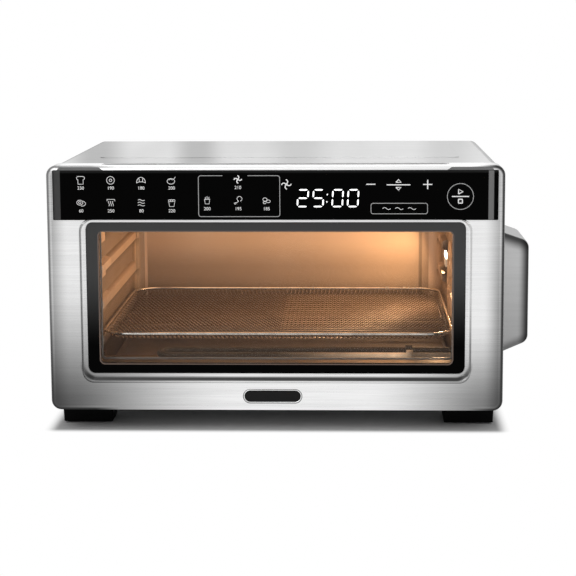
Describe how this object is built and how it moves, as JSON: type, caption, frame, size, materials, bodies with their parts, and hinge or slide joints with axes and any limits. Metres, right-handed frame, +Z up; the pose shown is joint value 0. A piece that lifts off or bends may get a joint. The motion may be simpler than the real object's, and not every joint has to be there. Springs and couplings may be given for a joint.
{
  "type": "toaster oven",
  "caption": "Countertop convection oven with a drop-down glass door, touch panel, wire mesh basket, tube heating elements and a side fan.",
  "frame": {"origin": "centre of the bounding box on the surface that the oven stands on", "axes": "+X to the right seen from the front, +Y from the door to the back, +Z up"},
  "size_m": [0.432, 0.296, 0.237],
  "materials": {
    "steel_skin": "horizontal brushed grain",
    "satin_steel": "fine satin",
    "black_glass": "gloss black, printed from behind",
    "clear_glass": "clear, black border band",
    "black_plastic": "fine matte",
    "zinc_plate": "zinc plated sheet",
    "cavity_plate": "bright plated sheet",
    "wire": "bright wire",
    "mesh": "woven wire",
    "element": "oxidised sheath",
    "ceramic": "unglazed ceramic",
    "copper": "wound enamelled wire and core",
    "board": "green circuit board",
    "display": "black display block",
    "seal": "black silicone",
    "black_frame": "matt black",
    "foot": "moulded black",
    "foot_rubber": "soft black",
    "screw": "plated",
    "black_screw": "blackened",
    "lamp_glass": "frosted",
    "tray": "plain sheet"
  },
  "bodies": {
    "oven_body": {"outer_wrap": "steel_skin", "base_plate": "zinc_plate", "rear_panel": "zinc_plate", "front_bulkhead": "cavity_plate", "cavity_shell": "cavity_plate", "left_cavity_wall": "cavity_plate", "right_cavity_wall": "cavity_plate", "lower_front_element": "element", "lower_rear_element": "element", "upper_front_element": "element", "upper_rear_element": "element", "element_supports": "cavity_plate", "element_bushes": "ceramic", "fan_guard": "cavity_plate", "fan_housing": "zinc_plate", "motor_bracket": "zinc_plate", "fan_motor": "copper", "fan_motor_cover": "satin_steel", "lamp_lens": "lamp_glass", "lamp_bulb": "lamp_glass", "lamp_holder": "ceramic", "crumb_tray": "tray", "hinge_bracket_left": "zinc_plate", "hinge_bracket_right": "zinc_plate", "foot_front_left": "foot", "foot_front_right": "foot", "foot_rear_left": "foot", "foot_rear_right": "foot", "foot_pads": "foot_rubber", "foot_screws": "screw", "base_screws": "screw", "rear_panel_screws": "black_screw", "cover_screws": "screw", "cord_gland": "black_plastic", "power_board": "board", "board_standoffs": "black_plastic", "temperature_sensor": "screw", "door_bumpers": "seal"},
    "door": {"door_skin": "steel_skin", "handle_cup": "satin_steel", "control_bezel": "black_plastic", "control_glass": "black_glass", "display_module": "display", "control_board": "board", "outer_window_glass": "clear_glass", "window_seal": "seal", "window_frame": "black_frame", "inner_window_glass": "clear_glass", "door_inner_panel": "cavity_plate", "inner_panel_screws": "screw", "door_hinge_left": "zinc_plate", "door_hinge_right": "zinc_plate", "hinge_pin_left": "screw", "hinge_pin_right": "screw"},
    "basket": {"basket_rim": "wire", "basket_mesh": "mesh"},
    "fan": {"fan_impeller": "zinc_plate", "fan_shaft": "screw", "cooling_fan": "black_plastic"}
  },
  "joints": [
    {"name": "door_hinge", "type": "hinge", "parent": "oven_body", "child": "door", "pos_m": [-0.016, -0.1355, 0.025], "axis": [1, 0, 0], "range_deg": [0, 90]},
    {"name": "basket_slide", "type": "slide", "parent": "oven_body", "child": "basket", "axis": [0, -1, 0], "range_m": [0, 0.0786]},
    {"name": "fan_spin", "type": "hinge", "parent": "oven_body", "child": "fan", "pos_m": [0.169, -0.015, 0.1084], "axis": [1, 0, 0], "continuous": true}
  ],
  "couplings": [
    {"joint": "basket_slide", "follows": "door_hinge", "m_per_rad": 0.05}
  ]
}
